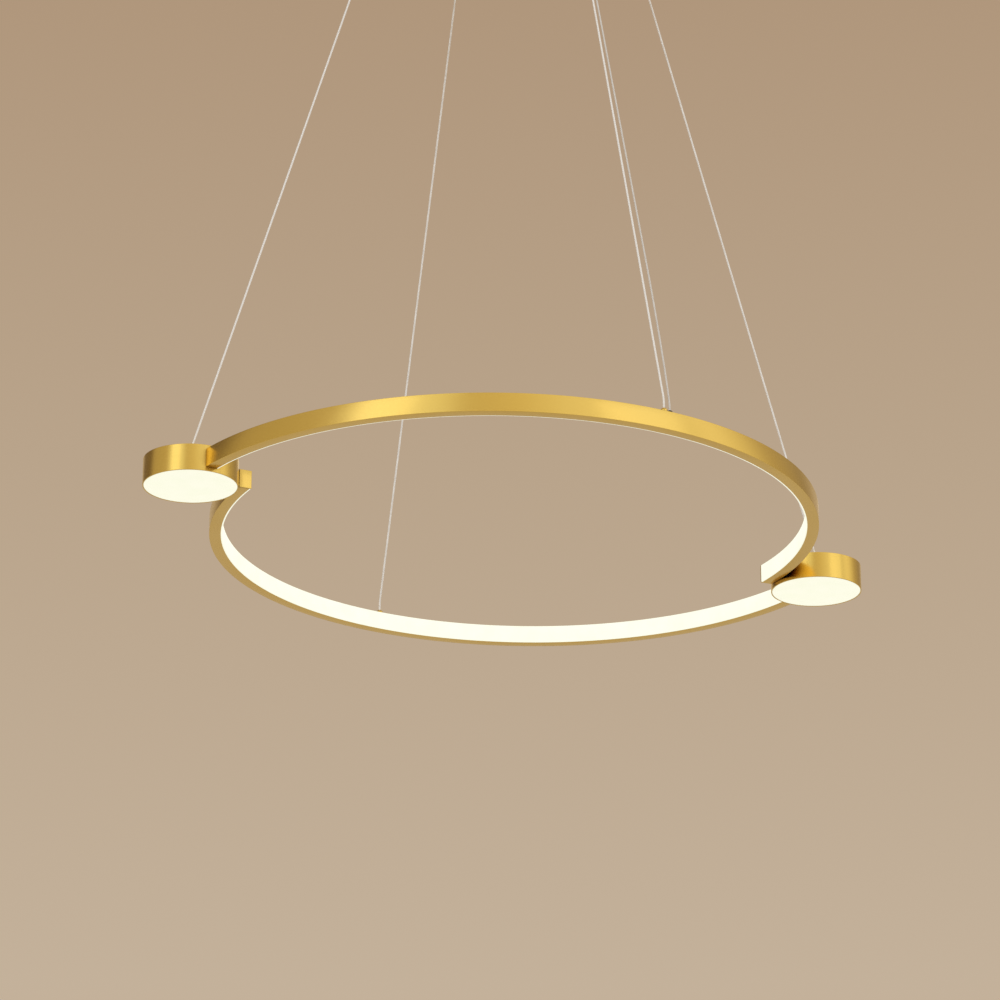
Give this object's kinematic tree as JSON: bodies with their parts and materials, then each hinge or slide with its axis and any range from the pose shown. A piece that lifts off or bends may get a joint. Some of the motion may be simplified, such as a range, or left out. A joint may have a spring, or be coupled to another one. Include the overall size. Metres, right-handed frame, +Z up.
{
  "type": "pendant ceiling light",
  "caption": "Pendant light with a broken gold ring: two C-section lit half rings, each starting at a lit disc, hung on thin wires from a round canopy.",
  "frame": {"origin": "middle of the ceiling bracket, on its upper face, which lies against the ceiling", "axes": "+Z up; +X from the left disc to the right disc; the left half ring passes through -Y and the right one through +Y"},
  "size_m": [0.7216, 0.6, 0.6817],
  "materials": {
    "gold_finish": "satin gold anodised",
    "opal_diffuser": "opal acrylic, lit warm white",
    "led_chips": "phosphor, glossy",
    "led_strip": "white solder mask",
    "led_board": "white solder mask on aluminium",
    "nickel": "nickel plated",
    "coated_wire": "steel rope in clear coat",
    "clear_lead": "clear sheath over fine strands",
    "dark_bush": "matt",
    "cast_zinc": "as cast",
    "driver_white": "fine texture",
    "terminal_nylon": "natural nylon",
    "zinc_steel": "zinc plated sheet",
    "screw_steel": "zinc plated"
  },
  "bodies": {
    "root": {"arc_channel_left": "gold_finish", "arc_channel_right": "gold_finish", "arc_diffuser_left": "opal_diffuser", "arc_diffuser_right": "opal_diffuser", "arc_end_cap_left": "gold_finish", "arc_end_cap_right": "gold_finish", "arc_led_chips_left": "led_chips", "arc_led_chips_right": "led_chips", "arc_led_strip_left": "led_strip", "arc_led_strip_right": "led_strip", "canopy_cover": "gold_finish", "canopy_screws": "screw_steel", "disc_diffuser_left": "opal_diffuser", "disc_diffuser_right": "opal_diffuser", "disc_housing_left": "gold_finish", "disc_housing_right": "gold_finish", "disc_led_board_left": "led_board", "disc_led_board_right": "led_board", "disc_led_chips_left": "led_chips", "disc_led_chips_right": "led_chips", "driver_case": "driver_white", "feed_lead": "clear_lead", "gland_nuts": "screw_steel", "gripper_body_left_arc": "gold_finish", "gripper_body_left_disc": "gold_finish", "gripper_body_right_arc": "gold_finish", "gripper_body_right_disc": "gold_finish", "gripper_nuts": "nickel", "joint_block_left": "cast_zinc", "joint_block_right": "cast_zinc", "joint_screws": "screw_steel", "lead_gland": "gold_finish", "lead_gland_nut": "screw_steel", "lead_inlet": "dark_bush", "mounting_bracket": "zinc_steel", "supply_bush": "dark_bush", "terminal_block": "terminal_nylon", "terminal_screws": "screw_steel", "tie_screws": "screw_steel", "wire_ends": "coated_wire", "wire_gland_left_arc": "gold_finish", "wire_gland_left_disc": "gold_finish", "wire_gland_right_arc": "gold_finish", "wire_gland_right_disc": "gold_finish", "wire_left_arc": "coated_wire", "wire_left_disc": "coated_wire", "wire_right_arc": "coated_wire", "wire_right_disc": "coated_wire", "wire_tails": "coated_wire"},
    "plunger_left_arc": {"gripper_plunger_left_arc": "nickel"},
    "plunger_left_disc": {"gripper_plunger_left_disc": "nickel"},
    "plunger_right_arc": {"gripper_plunger_right_arc": "nickel"},
    "plunger_right_disc": {"gripper_plunger_right_disc": "nickel"}
  },
  "joints": [
    {"name": "release_left_arc", "type": "slide", "parent": "root", "child": "plunger_left_arc", "axis": [0, 0, 1], "range_m": [0, 0.002], "stiffness_N_per_m": 1500, "springref_m": -0.002},
    {"name": "release_left_disc", "type": "slide", "parent": "root", "child": "plunger_left_disc", "axis": [0, 0, 1], "range_m": [0, 0.002], "stiffness_N_per_m": 1500, "springref_m": -0.002},
    {"name": "release_right_arc", "type": "slide", "parent": "root", "child": "plunger_right_arc", "axis": [0, 0, 1], "range_m": [0, 0.002], "stiffness_N_per_m": 1500, "springref_m": -0.002},
    {"name": "release_right_disc", "type": "slide", "parent": "root", "child": "plunger_right_disc", "axis": [0, 0, 1], "range_m": [0, 0.002], "stiffness_N_per_m": 1500, "springref_m": -0.002}
  ]
}
